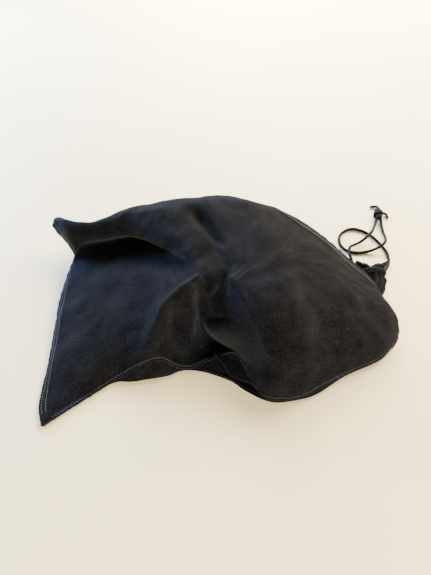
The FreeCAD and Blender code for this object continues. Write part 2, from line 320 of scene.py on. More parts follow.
def smooth_grid(net, steps_u, steps_v):
    net = np.array(net, float)
    u = spline_matrix(net.shape[0], steps_u)
    v = spline_matrix(net.shape[1], steps_v)
    return np.einsum("ai,bj,ijk->abk", u, v, net)


def relax(grid, rounds, share=0.5):
    """Even out a grid; its outline stays where it is."""
    grid = grid.copy()
    for _ in range(rounds):
        inner = 0.25 * (grid[:-2, 1:-1] + grid[2:, 1:-1] + grid[1:-1, :-2] + grid[1:-1, 2:])
        grid[1:-1, 1:-1] += share * (inner - grid[1:-1, 1:-1])
    return grid


def grid_normals(grid):
    across = np.gradient(grid, axis=0)
    along = np.gradient(grid, axis=1)
    normals = np.cross(across, along)
    return normals / np.maximum(np.linalg.norm(normals, axis=2, keepdims=True), 1e-9)


def arc_lengths(grid):
    """Millimetres along the grid both ways, for weave that keeps its scale."""
    u = np.zeros(grid.shape[:2])
    v = np.zeros(grid.shape[:2])
    u[1:] = np.cumsum(np.linalg.norm(np.diff(grid, axis=0), axis=2), axis=0)
    v[:, 1:] = np.cumsum(np.linalg.norm(np.diff(grid, axis=1), axis=2), axis=1)
    return u, v


def running_length(points):
    """Length of a line up to each of its points."""
    return np.concatenate([[0.0], np.cumsum(np.linalg.norm(np.diff(points, axis=0), axis=1))])


def ring_points(centre, radius, first, second, around):
    """Points of a circle that starts towards `first` and turns towards `second`."""
    angles = [2.0 * math.pi * a / around for a in range(around)]
    return [centre + radius * (math.cos(angle) * first + math.sin(angle) * second) for angle in angles]


def mesh_piece(name, verts_mm, faces, material, uvs=None):
    mesh = bpy.data.meshes.new(name)
    mesh.from_pydata([tuple(v) for v in np.asarray(verts_mm) * MM], [], faces)
    mesh.validate()
    mesh.update()
    if uvs is not None:
        layer = mesh.uv_layers.new(name="cloth_mm")
        index = np.empty(len(mesh.loops), dtype=np.int32)
        mesh.loops.foreach_get("vertex_index", index)
        layer.data.foreach_set("uv", np.asarray(uvs, np.float32)[index].ravel())
    mesh.polygons.foreach_set("use_smooth", [True] * len(mesh.polygons))
    mesh.materials.append(material)
    piece = bpy.data.objects.new(name, mesh)
    bpy.context.scene.collection.objects.link(piece)
    return piece


def grid_faces(rows, columns, start=0, flip=False, wrap=False):
    faces = []
    for i in range(rows - 1):
        for j in range(columns if wrap else columns - 1):
            k = (j + 1) % columns
            a = start + i * columns + j
            b = start + (i + 1) * columns + j
            c = start + (i + 1) * columns + k
            d = start + i * columns + k
            faces.append((a, d, c, b) if flip else (a, b, c, d))
    return faces


def rim_faces(rows, columns, start):
    """Faces that close the edge between a grid and its copy that starts at `start`."""
    loop = [i * columns for i in range(rows)]
    loop += [(rows - 1) * columns + j for j in range(1, columns)]
    loop += [i * columns + columns - 1 for i in range(rows - 2, -1, -1)]
    loop += [j for j in range(columns - 2, 0, -1)]
    return [(a, a + start, b + start, b) for a, b in zip(loop, loop[1:] + loop[:1])]


def cloth_piece(name, grid, thickness, material):
    """Closed sheet: the grid is its outside, the inside lies a cloth's thickness behind it."""
    inner = grid - grid_normals(grid) * thickness
    rows, columns = grid.shape[:2]
    verts = np.concatenate([grid.reshape(-1, 3), inner.reshape(-1, 3)])
    verts[:, 2] = np.maximum(verts[:, 2], LOWEST_Z)
    faces = grid_faces(rows, columns)
    faces += grid_faces(rows, columns, rows * columns, flip=True)
    faces += rim_faces(rows, columns, rows * columns)
    u, v = arc_lengths(grid)
    uvs = np.stack([u, v], axis=2).reshape(-1, 2)
    return mesh_piece(name, verts, faces, material, np.concatenate([uvs, uvs]))


def tube_piece(name, points, radii, material, around=12):
    """Flat-ended round tube through points (mm), with a frame that doesn't twist."""
    points = np.asarray(points, float)
    radii = np.broadcast_to(np.asarray(radii, float), (len(points),))
    tangents = np.gradient(points, axis=0)
    tangents /= np.linalg.norm(tangents, axis=1, keepdims=True)
    side = np.cross(tangents[0], (0.0, 0.0, 1.0))
    if np.linalg.norm(side) < 0.1:
        side = np.cross(tangents[0], (0.0, 1.0, 0.0))
    verts = []
    uvs = []
    run = 0.0
    for k, (point, tangent, radius) in enumerate(zip(points, tangents, radii)):
        side = side - tangent * np.dot(side, tangent)
        side /= np.linalg.norm(side)
        up = np.cross(side, tangent)
        if k:
            run += float(np.linalg.norm(point - points[k - 1]))
        verts += ring_points(point, radius, side, up, around)
        uvs += [(a / around, run) for a in range(around)]
    faces = grid_faces(len(points), around, wrap=True)
    for end, flip in ((0, False), ((len(points) - 1) * around, True)):
        cap = [end + a for a in range(around)]
        faces.append(tuple(cap if flip else reversed(cap)))
    return mesh_piece(name, verts, faces, material, uvs)


# ---------------------------------------------------------------- drawcord

# The cord lies at CORD_Z on the table and rises to CROSSING_Z where it crosses itself; places in mm.
CORD_RADIUS = 1.85
CORD_Z = CORD_RADIUS
CROSSING_Z = 7.6
LEFT_ROUTE = (
    (167, 31, 14.1), (166.9, 31.8, 8.9), (166.3, 36.5, 5), (166.5, 45, 3), (166.5, 54, 3),
    (165, 64, 5), (163.5, 74, CROSSING_Z), (166, 84, CROSSING_Z), (174, 91, 4), (184, 97, 3.4),
    (193, 103, CROSSING_Z), (201, 112, CROSSING_Z), (206, 122, 4), (211, 132, 3), (215, 142, 4),
)
RIGHT_ROUTE = (
    (193, 31, 14.1), (193.1, 31.8, 8.9), (194.6, 36.5, 5), (198.5, 42.5, 3.4), (204, 49.5, 2.4),
    (210, 58, 1.8), (213.5, 70, CORD_Z), (213.5, 82, CORD_Z), (209, 94, CORD_Z), (204, 105, CORD_Z),
    (197, 115, CORD_Z), (188, 122, CORD_Z), (178, 124, CORD_Z), (168, 120, CORD_Z), (160.5, 112, CORD_Z),
    (157, 102, CORD_Z), (157.5, 91, CORD_Z), (164, 82, CORD_Z), (174, 79, CORD_Z), (186, 80, CORD_Z),
    (197, 82, 4), (207, 86, CROSSING_Z), (214.5, 94, CROSSING_Z), (217.5, 106, 4), (218, 118, CORD_Z),
    (219, 130, 2.4), (220, 141, 4),
)
LEFT_TAIL = ((222.5, 160, 4.4), (223, 166, 3), (219, 170, 2), (213, 168, CORD_Z))
RIGHT_TAIL = ((224.2, 152.6, 4.2), (228, 154, 3), (232, 151, 2), (231, 145, CORD_Z))
KNOT_CENTRE = np.array((219.0, 150.0, 4.4))
KNOT_LEAN_DEG = 72.0
KNOT_WRAP_RADIUS = 4.6
KNOT_WRAP_TURNS = 2.2
KNOT_WRAP_LENGTH = 16.0
KNOT_WRAP_START = 0.6
KNOT_WRAP_FULLNESS = 0.35
KNOT_WRAP_SHIFTS = (-1.5, 1.5)
# Each end runs on through the middle of the knot and leaves as its tail.
KNOT_CORES = (
    ((214.2, 140.5, 3.9), (217, 146, 5), (220, 153, 5.4), (222.5, 160, 4.4), (222.8, 162, 4.0)),
    ((219.9, 139.5, 3.8), (219.6, 146, 3.6), (220.5, 150, 3.4), (224.2, 152.6, 4.2), (225.6, 153.2, 3.9)),
)
TAIL_END_SHARE = 0.9
# Piece, CAD node and route of each tail and of each long end.
TAILS = (
    ("cord_tail_left", "knot_tail_left", LEFT_TAIL),
    ("cord_tail_right", "knot_tail_right", RIGHT_TAIL),
)
CORD_ENDS = (
    ("cord_left_end", "drawcord_left_end", LEFT_ROUTE),
    ("cord_right_end", "drawcord_right_end", RIGHT_ROUTE),
)


def nurbs_line(route):
    """Points along the smooth line that a route's points pull into shape, in mm."""
    curve = bpy.data.curves.new("route", "CURVE")
    curve.dimensions = "3D"
    spline = curve.splines.new("NURBS")
    spline.points.add(len(route) - 1)
    for point, place in zip(spline.points, route):
        point.co = (place[0] * MM, place[1] * MM, place[2] * MM, 1.0)
    spline.order_u = 3
    spline.use_endpoint_u = True
    spline.resolution_u = 8
    holder = bpy.data.objects.new("route", curve)
    mesh = bpy.data.meshes.new_from_object(holder)
    points = np.array([tuple(v.co) for v in mesh.vertices]) / MM
    bpy.data.objects.remove(holder)
    bpy.data.curves.remove(curve)
    bpy.data.meshes.remove(mesh)
    return points


def knot_wrap(shift):
    """One strand of the overhand knot's turn, wound round the two strands that run through it."""
    t = np.linspace(0.0, 1.0, 80)
    angle = 2.0 * math.pi * KNOT_WRAP_TURNS * t + KNOT_WRAP_START
    out = KNOT_WRAP_RADIUS * np.sin(math.pi * t) ** KNOT_WRAP_FULLNESS
    along = KNOT_WRAP_LENGTH * (t - 0.5) + shift
    local = np.stack([along, out * np.cos(angle), out * np.sin(angle)], axis=1)
    turn = np.array(Matrix.Rotation(math.radians(KNOT_LEAN_DEG), 3, "Z"))
    points = local @ turn.T + KNOT_CENTRE
    points[:, 2] = np.maximum(points[:, 2], CORD_RADIUS)
    return points


def knot_core(places):
    return smooth_grid([places, places], 1, 10)[0]


def knot_strands(material):
    """The knot's two turns, then the two strands that run through them."""
    runs = [knot_wrap(shift) for shift in KNOT_WRAP_SHIFTS]
    runs += [knot_core(places) for places in KNOT_CORES]
    strands = []
    for number, run in enumerate(runs, 1):
        strand = tube_piece(f"end_knot_strand_{number}", run, CORD_RADIUS, material)
        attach(strand, "drawcord")
        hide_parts("end_knot")
        strands.append(strand)
    return strands


def cord_tails(material):
    tails = []
    for name, node, route in TAILS:
        points = nurbs_line(route)
        radii = CORD_RADIUS * np.linspace(1.0, TAIL_END_SHARE, len(points))
        tail = tube_piece(name, points, radii, material)
        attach(tail, "drawcord")
        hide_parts(node)
        tails.append(tail)
    return tails


def drawcord(material):
    """Both ends of the cord, made after the knot and its tails."""
    with_pieces = knot_strands(material) + cord_tails(material)
    for name, node, route in CORD_ENDS:
        points = nurbs_line(route)
        cord = tube_piece(name, points, CORD_RADIUS, material)
        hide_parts(node)
        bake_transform(cord)
        with_pieces = []


# ---------------------------------------------------------------- bag cloth

# Thicknesses, gap and lowest heights in mm; cut sizes and areas in metres.
CLOTH = 1.1
LINING_CLOTH = 0.8
LINING_GAP = 1.0
FLOOR_Z = 0.3
TOP_LOWEST_Z = 2.8
LOWEST_Z = 0.1
COLUMN_STEPS = 14
ROW_STEPS = 12
RELAX_ROUNDS = 12
# The part of the cloth grid that the lining follows.
LINING_COLUMNS = slice(34, -8)
LINING_ROWS = slice(16, -10)

# Guide lines of the upper cloth, left to right, in mm.
# Each runs from the near seam over the top to the far seam.
TOP_GUIDES = (
    ((-162, -145, 1), (-169, -127, 2), (-171, -104, 2), (-172, -73, 4), (-175, -34, 6), (-177, 7, 9),
     (-175, 50, 10), (-173, 63, 14), (-184, 78, 21), (-197, 91, 26), (-203, 98, 31)),
    ((-147, -133, 2), (-151, -118, 4), (-152, -92, 8), (-151, -57, 12), (-151, -19, 16), (-154, 20, 18),
     (-164, 72, 15), (-166, 72, 27), (-176, 80, 36), (-187, 96, 41), (-196, 108, 35)),
    ((-128, -118, 2), (-128, -105, 6), (-125, -82, 13), (-122, -50, 19), (-123, -13, 23), (-125, 26, 25),
     (-137, 84, 12), (-137, 72, 31), (-142, 78, 40), (-152, 90, 43), (-158, 104, 18)),
    ((-104, -100, 3), (-103, -89, 10), (-98, -71, 18), (-94, -44, 26), (-93, -13, 31), (-96, 26, 32),
     (-105, 87, 19), (-106, 73, 37), (-108, 82, 49), (-116, 103, 51), (-132, 128, 15)),
    ((-91, -93, 8), (-87, -85, 14), (-81, -70, 22), (-75, -48, 31), (-71, -20, 37), (-67, 11, 40),
     (-70, 61, 31), (-73, 54, 43), (-76, 70, 55), (-84, 108, 57), (-97, 137, 12)),
    ((-78, -88, 14), (-70, -80, 23), (-65, -68, 32), (-60, -53, 41), (-52, -36, 48), (-36, -19, 52),
     (-26, 3, 53), (-35, 30, 56), (-47, 61, 60), (-57, 113, 60), (-66, 141, 12)),
    ((-57, -83, 16), (-54, -77, 19), (-51, -66, 25), (-45, -52, 33), (-38, -37, 41), (-26, -22, 50),
     (-12, 0, 54), (-19, 24, 57), (-32, 60, 61), (-38, 115, 61), (-45, 143, 13)),
    ((-30, -86, 4), (-30, -80, 6), (-28, -69, 8), (-26, -57, 15), (-26, -44, 27), (-20, -26, 36),
     (-4, -15, 50), (-6, 16, 56), (-16, 57, 60), (-21, 116, 61), (-26, 144, 15)),
    ((17, -71, 10), (11, -69, 7), (4, -63, 4), (-4, -53, 4), (-15, -41, 14), (-15, -32, 26),
     (5, -10, 49), (4, 12, 56), (-4, 55, 60), (-11, 118, 62), (-14, 144, 17)),
    ((37, -109, 3), (35, -98, 7), (28, -82, 12), (16, -68, 15), (-5, -54, 23), (-4, -36, 30),
     (12, -13, 53), (13, 10, 57), (7, 54, 61), (1, 118, 62), (-2, 144, 19)),
    ((52, -120, 4), (52, -112, 16), (50, -95, 32), (46, -79, 44), (38, -63, 52), (28, -43, 57),
     (19, -18, 58), (25, 10, 60), (22, 53, 62), (18, 116, 62), (16, 141, 24)),
    ((79, -118, 4), (78, -111, 18), (77, -97, 35), (75, -77, 49), (70, -53, 58), (65, -29, 62),
     (62, 0, 63), (60, 33, 63), (55, 69, 62), (46, 107, 60), (42, 131, 34)),
    ((100, -108, 6), (102, -99, 17), (102, -86, 31), (100, -65, 42), (96, -41, 49), (92, -16, 53),
     (89, 12, 55), (87, 40, 55), (85, 70, 53), (83, 100, 49), (82, 109, 42)),
    ((127, -93, 5), (132, -85, 15), (134, -73, 27), (133, -55, 36), (130, -33, 42), (127, -12, 45),
     (124, 10, 46), (123, 30, 45), (121, 51, 43), (120, 73, 40), (119, 82, 36)),
    ((164, -77, 5), (168, -69, 14), (168, -59, 22), (168, -46, 28), (165, -32, 32), (161, -19, 34),
     (158, -8, 35), (156, 6, 34), (153, 20, 33), (152, 37, 31), (151, 46, 28)),
    ((181, -63, 8), (187, -53, 13), (189, -43, 18), (188, -34, 22), (185, -26, 24), (183, -19, 25),
     (180, -11, 26), (177, -2, 26), (174, 7, 26), (172, 17, 25), (170, 26, 23)),
    ((182, -62, 4), (190, -52, 7), (193, -42, 10), (192, -32, 12), (189, -24, 13), (186, -15, 14),
     (182, -6, 15), (179, 3, 15), (176, 12, 15), (173, 20, 15), (171, 27, 15)),
)

# Guide lines of the under cloth at the left end, where it follows the upper cloth up into the corner.
UNDER_LEFT_GUIDES = (
    ((-162, -145, 1), (-168, -127, 1), (-170, -104, 1), (-171, -73, 2), (-174, -34, 4), (-176, 7, 7),
     (-174, 50, 8), (-172, 63, 12), (-183, 78, 19), (-196, 91, 24), (-203, 98, 30)),
    ((-147, -133, 1), (-146, -128, 1), (-148, -100, 1), (-149, -60, 1), (-150, -25, 1), (-152, 10, 1),
     (-156, 45, 1), (-163, 66, 6), (-175, 82, 17), (-188, 97, 27), (-196, 108, 34)),
    ((-128, -118, 2), (-126, -114, 1), (-128, -96, 1), (-129, -60, 1), (-130, -25, 1), (-132, 10, 1),
     (-135, 45, 1), (-139, 70, 1), (-147, 88, 3), (-155, 99, 9), (-158, 104, 18)),
)

# The same at the mouth end, where the two cloths are sewn together.
UNDER_RIGHT_GUIDE = (
    (182, -62, 3), (190, -52, 5), (192, -42, 8), (191, -32, 10), (188, -24, 11), (185, -15, 12),
    (180, -6, 13), (176, 3, 13), (171, 10, 14), (168, 16, 14), (165, 21, 15),
)

# Lowest outer line of the under cloth, a point for each guide line between.
# It bulges out beside the near seam.
UNDER_BELLY = (
    (-103, -100, 1), (-85, -100, 2), (-70, -98, 3), (-50, -94, 3), (-28, -86, 1), (10, -97, 2),
    (27, -109, 1), (52, -121, 2), (80, -118, 2), (98, -112, 2), (128, -93, 2), (165, -76, 2),
    (181, -62, 3),
)
# From there it lies on the table and then rises to the far seam; steps inward in mm.
UNDER_CONTACT_STEP = 14.0
UNDER_FLOOR_POINTS = 7
UNDER_FAR_STEP = 12.0
UNDER_FAR_SLOPE = 0.3
UNDER_WALL_SHARE = 0.4
UNDER_WALL_STEP = 1.5
# Beside the mouth it keeps further back, from MOUTH_ROOM_START on, to leave the mouth room to swing.
UNDER_MOUTH_STEP = 8.0
MOUTH_ROOM_START = 119.0
MOUTH_ROOM_RUN = 40.0


def ripples(x, y, shortest, longest, count, seed):
    """Gentle random waves over the cloth, about -1 to 1."""
    rng = np.random.default_rng(seed)
    total = np.zeros_like(x)
    for _ in range(count):
        length = shortest * (longest / shortest) ** rng.random()
        heading = rng.random() * math.pi
        phase = rng.random() * 2.0 * math.pi
        wave = np.sin(2.0 * math.pi * (x * math.cos(heading) + y * math.sin(heading)) / length + phase)
        total += wave * (length / longest)
    return total / math.sqrt(count)


def line_distance(grid, line):
    """Plan distance from each grid point to a line of (x, y) points, and the share of the way along it."""
    line = np.array(line, float)
    best = np.full(grid.shape[:2], 1e9)
    share = np.zeros(grid.shape[:2])
    spans = len(line) - 1
    for k in range(spans):
        a = line[k]
        run = line[k + 1] - a
        t = np.clip(((grid[..., :2] - a) @ run) / (run @ run), 0.0, 1.0)
        gap = np.linalg.norm(grid[..., :2] - (a + t[..., None] * run), axis=2)
        nearer = gap < best
        best = np.where(nearer, gap, best)
        share = np.where(nearer, (k + t) / spans, share)
    return best, share


# Creases of the upper cloth, in mm: line in plan, half width at its start and end, height at its
# start and end (negative is a groove).
CREASES = (
    (((-32, 98), (-25, 85), (-16, 71), (-7, 54), (2, 40), (11, 30)), (9.0, 4.5), (-8.0, -3.5)),
    (((-170, 44), (-154, 62), (-138, 72)), (2.2, 2.2), (-0.8, -0.8)),
    (((-165, 39), (-149, 57), (-133, 67)), (2.2, 2.2), (-0.7, -0.7)),
    (((-121, 85), (-104, 98)), (3.0, 3.0), (1.2, 1.2)),
    (((-104, 90), (-76, 92), (-49, 89)), (3.5, 3.5), (1.0, 1.0)),
    (((-11, -37), (8, -48), (24, -63)), (3.0, 4.0), (-1.8, -1.2)),
    (((-38, -36), (-44, -51), (-45, -71)), (5.0, 6.0), (-2.5, -2.5)),
    (((-25, -42), (-30, -60), (-36, -74)), (4.0, 4.0), (2.2, 2.2)),
    (((10, -4), (19, -18), (28, -43), (38, -63), (46, -79), (50, -95)), (3.0, 3.6), (2.3, 1.8)),
    (((-4, 2), (-26, -12), (-43, -26), (-56, -43), (-62, -58), (-68, -76)), (3.6, 3.8), (2.3, 1.6)),
)
CREASE_FADE = 0.25
# Wrinkles: shortest and longest wave in mm, and how many waves are added up.
SOFT_WAVES = (18.0, 70.0, 26)
SOFT_HEIGHT = 0.9
PUCKER_WAVES = (6.0, 14.0, 14)
PUCKER_HEIGHT = 0.45
PUCKER_REACH = 7.0
CALM_REACH = 6.0
WRINKLE_SEED = 11


def crease(grid, line, widths, heights):
    gap, share = line_distance(grid, line)
    width = widths[0] + (widths[1] - widths[0]) * share
    height = heights[0] + (heights[1] - heights[0]) * share
    ends = np.clip(np.minimum(share, 1.0 - share) / CREASE_FADE, 0.0, 1.0)
    return height * np.exp(-((gap / width) ** 2)) * ends


def edge_gap(grid):
    """Distance of each grid point from the nearest seam, measured along the cloth."""
    u, v = arc_lengths(grid)
    return np.minimum(np.minimum(u, u[-1] - u), np.minimum(v, v[:, -1:] - v))


def wrinkled(grid):
    """Soft waves over the whole cloth, and short puckers beside its seams."""
    normals = grid_normals(grid)
    u, v = arc_lengths(grid)
    gap = edge_gap(grid)
    soft = SOFT_HEIGHT * ripples(u, v, *SOFT_WAVES, WRINKLE_SEED)
    pucker = PUCKER_HEIGHT * np.exp(-gap / PUCKER_REACH) * ripples(u, v, *PUCKER_WAVES, WRINKLE_SEED + 1)
    calm = np.clip(gap / CALM_REACH, 0.0, 1.0)
    return grid + normals * (soft * calm + pucker)[..., None]


def top_grid():
    grid = relax(smooth_grid(TOP_GUIDES, COLUMN_STEPS, ROW_STEPS), RELAX_ROUNDS)
    shape = sum((crease(grid, *entry) for entry in CREASES), np.zeros(grid.shape[:2]))
    grid = grid + grid_normals(grid) * shape[..., None]
    grid = wrinkled(grid)
    grid[..., 2] = np.maximum(grid[..., 2], TOP_LOWEST_Z)
    return grid


def under_grid():
    columns = [np.array(guide, float) for guide in UNDER_LEFT_GUIDES]
    for guide, belly in zip(TOP_GUIDES[len(columns):-1], UNDER_BELLY):
        near = np.array(guide[0], float)
        far = np.array(guide[-1], float)
        beside_mouth = max(0.0, (far[0] - MOUTH_ROOM_START) / MOUTH_ROOM_RUN)
        wall_step = UNDER_WALL_STEP + UNDER_MOUTH_STEP * beside_mouth
        belly = np.array(belly, float)
        inward = (far - belly) * (1.0, 1.0, 0.0)
        inward /= np.linalg.norm(inward)
        contact = belly + inward * UNDER_CONTACT_STEP
        far_floor = far - inward * (UNDER_FAR_STEP + UNDER_FAR_SLOPE * far[2])
        far_wall = far - inward * wall_step
        contact[2] = far_floor[2] = FLOOR_Z
        far_wall[2] = max(UNDER_WALL_SHARE * far[2], FLOOR_Z)
        shares = np.linspace(0.0, 1.0, UNDER_FLOOR_POINTS)
        floor_run = [contact + (far_floor - contact) * share for share in shares]
        columns.append([near, belly, *floor_run, far_wall, far])
    columns.append(np.array(UNDER_RIGHT_GUIDE, float))
    grid = smooth_grid(columns, COLUMN_STEPS, ROW_STEPS)
    grid[..., 2] = np.maximum(grid[..., 2], FLOOR_Z)
    return grid


def edge_walk(grid, side, inset):
    """Points and outward normals on a grid, at a distance from one of its four edges."""
    turn = {
        "near": lambda a: a,
        "far": lambda a: a[:, ::-1],
        "left": lambda a: a.transpose(1, 0, 2),
        "right": lambda a: a[::-1].transpose(1, 0, 2),
    }[side]
    lines = turn(grid)
    lifts = turn(grid_normals(grid))
    points = []
    normals = []
    for line, lift, inset in zip(lines, lifts, np.broadcast_to(inset, len(lines))):
        run = running_length(line)
        points.append([np.interp(inset, run, line[:, k]) for k in range(3)])
        normals.append([np.interp(inset, run, lift[:, k]) for k in range(3)])
    return np.array(points), np.array(normals)


def corner_blend(piece):
    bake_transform(piece)


# A stitch, from end to end: way along it, height over the cloth in mm, share of the thread's radius.
STITCH_PROFILE = (
    (-0.5, -0.22, 0.6), (-0.28, 0.10, 1.0), (0.0, 0.20, 1.0), (0.28, 0.10, 1.0), (0.5, -0.22, 0.6),
)
THREAD_RADIUS = 0.27
THREAD_AROUND = 6
STITCH_LEAN = 0.16


def stitch_row(name, points, normals, material, seed, pitch=2.8, length=2.0):
    """Row of short sewn threads that dip into the cloth at both ends."""
    rng = np.random.default_rng(seed)
    run = running_length(points)
    places, lifts, swell = zip(*STITCH_PROFILE)
    verts = []
    faces = []
    for middle in np.arange(pitch, run[-1] - pitch, pitch):
        at = middle + length * np.array(places)
        line = np.stack([np.interp(at, run, points[:, k]) for k in range(3)], axis=1)
        up = np.array([np.interp(middle, run, normals[:, k]) for k in range(3)])
        up /= np.linalg.norm(up)
        along = line[-1] - line[0]
        along /= np.linalg.norm(along)
        side = np.cross(along, up)
        lean = rng.uniform(-STITCH_LEAN, STITCH_LEAN)
        base = len(verts)
        for place, lift, size, point in zip(places, lifts, swell, line):
            centre = point + up * lift + side * lean * place
            verts += ring_points(centre, THREAD_RADIUS * size, side, up, THREAD_AROUND)
        faces += grid_faces(len(places), THREAD_AROUND, base, wrap=True)
        last = base + (len(places) - 1) * THREAD_AROUND
        faces.append(tuple(base + a for a in reversed(range(THREAD_AROUND))))
        faces.append(tuple(last + a for a in range(THREAD_AROUND)))
    piece = mesh_piece(name, np.array(verts), faces, material)
    return piece


EDGE_RADIUS = 1.15


def edge_roll(name, grid, side, material, radius=EDGE_RADIUS):
    """Turned edge where the two cloths are sewn together."""
    points, normals = edge_walk(grid, side, 0.0)
    points = points - normals * (0.5 * CLOTH)
    points[:, 2] = np.maximum(points[:, 2], radius)
    run = np.arange(len(points))
    radii = radius * (1.0 + 0.10 * np.sin(run * 1.7) + 0.06 * np.sin(run * 0.61))
    piece = tube_piece(name, points, radii, material, around=10)
    return piece


# The band along the far seam turns in from the edge at guide line FELLED_TURN, over FELLED_TURN_SPANS
# guide lines, and then keeps FELLED_INSET mm from the edge.
FELLED_TURN = 10.0
FELLED_TURN_SPANS = 2.5
FELLED_INSET = 16.0
# Across a band: distance from the edge and height over the cloth.
BAND_PROFILE = (
    (0.6, -0.25), (0.9, 0.30), (1.8, 0.50), (3.8, 0.55), (5.6, 0.50), (6.6, 0.32), (7.0, -0.25),
)
BAND_CLOTH = 0.5
# Stitch rows: distance from the edge and height over the cloth.
NEAR_ROW = (2.2, 0.0)
FAR_ROWS = ((1.7, 0.62), (5.8, 0.58))
BOTTOM_ROWS = ((1.7, 0.25), (5.8, 0.23))
ROW_END_SKIP = 6


def seam_band(name, grid, side, material, height=1.0, skip=(0, 0), start=0.0):
    """Folded seam allowance, felled flat on the cloth beside an edge."""
    rows = []
    for inset, lift in BAND_PROFILE:
        points, normals = edge_walk(grid, side, inset + start)
        rows.append(points + normals * lift * height)
    band = np.array(rows)[:, skip[0]:len(rows[0]) - skip[1]]
    if side in ("far", "left"):
        band = band[::-1]
    piece = cloth_piece(name, band.transpose(1, 0, 2), BAND_CLOTH, material)
    return piece


def cloth(materials):
    """Both outer cloths and their linings; gives back the upper cloth's grid."""
    top = top_grid()
    under = under_grid()
    upper = cloth_piece("upper_cloth", top, CLOTH, materials["outer"])
    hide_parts("outer_top_panel", "far_corner_top_cloth")
    corner_blend(upper)
    lower = cloth_piece("under_cloth", under[::-1], CLOTH, materials["outer"])
    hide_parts("outer_under_panel", "far_corner_under_cloth")
    corner_blend(lower)
    inset = CLOTH + LINING_GAP
    for name, node, outer, depth in (("upper", "top", top, inset), ("under", "under", under, -inset)):
        inner = (outer - grid_normals(outer) * depth)[LINING_COLUMNS, LINING_ROWS]
        if node == "under":
            inner = inner[::-1]
        lining = cloth_piece(f"{name}_lining", inner, LINING_CLOTH, materials["lining"])
        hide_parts(f"lining_{node}_panel")
        corner_blend(lining)
    return top


# Tuck of the under cloth below the overhanging fold: its free edge, middle and hidden edge.
TUCK = (
    ((-3, -72, 9), (6, -84, 7), (14, -96, 4)),
    ((12, -73, 7), (19, -86, 6), (25, -100, 4)),
    ((27, -74, 5), (31, -88, 5), (35, -103, 4)),
)
TUCK_EDGE_RADIUS = 0.8


def tuck(materials):
    grid = smooth_grid(TUCK, 10, 12)
    piece = cloth_piece("under_cloth_tuck", grid, CLOTH, materials["outer"])
    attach(piece, "bag")
    edge = edge_roll("under_cloth_tuck_edge", grid, "left", materials["seam"], TUCK_EDGE_RADIUS)
    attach(edge, "bag")


def seams(top, materials):
    """Turned edges, felled seam bands and their stitches."""
    seam = materials["seam"]
    thread = materials["thread"]
    near = edge_roll("near_seam_edge", top, "near", seam)
    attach(near, "bag")
    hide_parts("near_side_seam")
    right = edge_roll("mouth_side_edge", top, "right", seam)
    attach(right, "bag")
    far = edge_roll("far_seam_edge", top, "far", seam)
    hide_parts("far_corner_side_seam")
    corner_blend(far)
    left = edge_roll("bottom_seam_edge", top, "left", seam)
    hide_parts("far_corner_bottom_seam")
    corner_blend(left)
    spread = np.clip((np.arange(len(top)) / COLUMN_STEPS - FELLED_TURN) / FELLED_TURN_SPANS, 0.0, 1.0)
    spread = FELLED_INSET * spread * spread * (3.0 - 2.0 * spread)
    far_band = seam_band("far_felled_seam", top, "far", seam, height=1.3, skip=(4, 6), start=spread)
    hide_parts("far_side_seam")
    corner_blend(far_band)
    bottom_band = seam_band("bottom_felled_seam", top, "left", seam, height=0.5, skip=(2, 4))
    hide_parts("bottom_seam")
    corner_blend(bottom_band)
    rows = (
        ("near_seam_stitches", "near", 0.0, NEAR_ROW, "near_side_stitches"),
        ("far_seam_stitches_outer", "far", spread, FAR_ROWS[0], "far_side_stitches"),
        ("far_seam_stitches_inner", "far", spread, FAR_ROWS[1], "far_side_stitches"),
        ("bottom_seam_stitches_outer", "left", 0.0, BOTTOM_ROWS[0], "bottom_stitches"),
        ("bottom_seam_stitches_inner", "left", 0.0, BOTTOM_ROWS[1], "bottom_stitches"),
    )
    for seed, (name, side, start, (inset, lift), node) in enumerate(rows):
        points, normals = edge_walk(top, side, start + inset)
        keep = slice(ROW_END_SKIP, len(points) - ROW_END_SKIP)
        piece = stitch_row(name, points[keep] + normals[keep] * lift, normals[keep], thread, seed)
        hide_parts(node)
        if side == "near":
            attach(piece, "bag")
        else:
            corner_blend(piece)


# ---------------------------------------------------------------- gathered mouth

MOUTH_X = 180.0
MOUTH_Z = 14.5
CHANNEL_Y = 31.0
CHANNEL_RING_RADIUS = 13.0
CHANNEL_START_DEG = 8.0
CHANNEL_END_DEG = 172.0
MOUTH_SAG = 0.70
ALONG_MOUTH = np.array((0.0, 1.0, 0.0))


def mouth_point(radius, angle, y):
    """Point round the mouth; the weight of the cloth flattens its upper half."""
    rise = radius * math.sin(angle)
    if rise > 0.0:
        rise *= MOUTH_SAG
    return np.array((MOUTH_X + radius * math.cos(angle), y, MOUTH_Z + rise))


def outward(angle):
    return np.array((math.cos(angle), 0.0, math.sin(angle)))


def pleat(angle, count, phase=0.0):
    """Soft folds round the mouth with narrow valleys, -1 to 1."""
    wander = 0.35 * math.sin(2.0 * angle + 1.1) + 0.22 * math.sin(5.0 * angle + phase)
    wave = math.cos(count * angle + phase + 2.0 * wander)
    return 1.0 - 2.0 * (0.5 - 0.5 * wave) ** 1.6


# The neck leaves the bag at a slant and turns to +Y: along, middle across, radius, pleat depth.
NECK_STATIONS = (
    (-26, 152, 15.0, 0.2), (-12, 162, 14.0, 0.5), (0, 171, 13.0, 0.8), (10, 178, 12.2, 1.0),
    (20, 181, 12.2, 1.2), (29, 180.5, 11.8, 1.2),
)
NECK_PLEATS = 11
NECK_RINGS = 168
NECK_STEPS = 48
NECK_SWAY = 0.5
NECK_LOWEST_Z = 1.5
